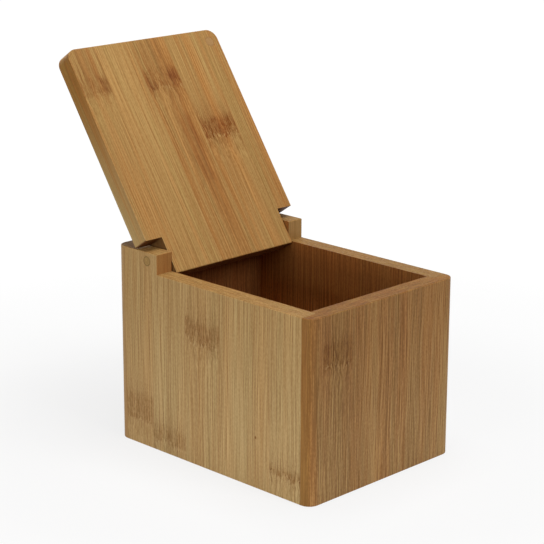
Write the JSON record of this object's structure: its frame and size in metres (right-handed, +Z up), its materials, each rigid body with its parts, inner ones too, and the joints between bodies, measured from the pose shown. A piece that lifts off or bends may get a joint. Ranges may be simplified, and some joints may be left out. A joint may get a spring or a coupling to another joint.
{
  "type": "salt box with hinged lid",
  "caption": "Wooden salt box with a lid that swings on dowels between two raised ears at the back and stays open against them.",
  "frame": {"origin": "middle of the box's underside, on the surface it stands on", "axes": "+Z up, -Y towards the front of the box, +Y towards the hinge at the back, +X to the right seen from the front"},
  "size_m": [0.11, 0.1917, 0.2089],
  "materials": {
    "bamboo_front": "satin",
    "bamboo_board": "satin",
    "bamboo_base": "satin",
    "bamboo_lid": "satin",
    "dowel_end": "satin"
  },
  "bodies": {
    "box": {"front_panel": "bamboo_front", "back_panel": "bamboo_board", "left_side": "bamboo_board", "right_side": "bamboo_board", "base_panel": "bamboo_base", "hinge_dowel_left": "dowel_end", "hinge_dowel_right": "dowel_end"},
    "lid": {"lid": "bamboo_lid", "lid_plug": "dowel_end"}
  },
  "joints": [
    {"name": "lid_hinge", "type": "hinge", "parent": "box", "child": "lid", "pos_m": [0, 0.0477, 0.1047], "axis": [1, 0, 0], "range_deg": [0, 124]}
  ]
}
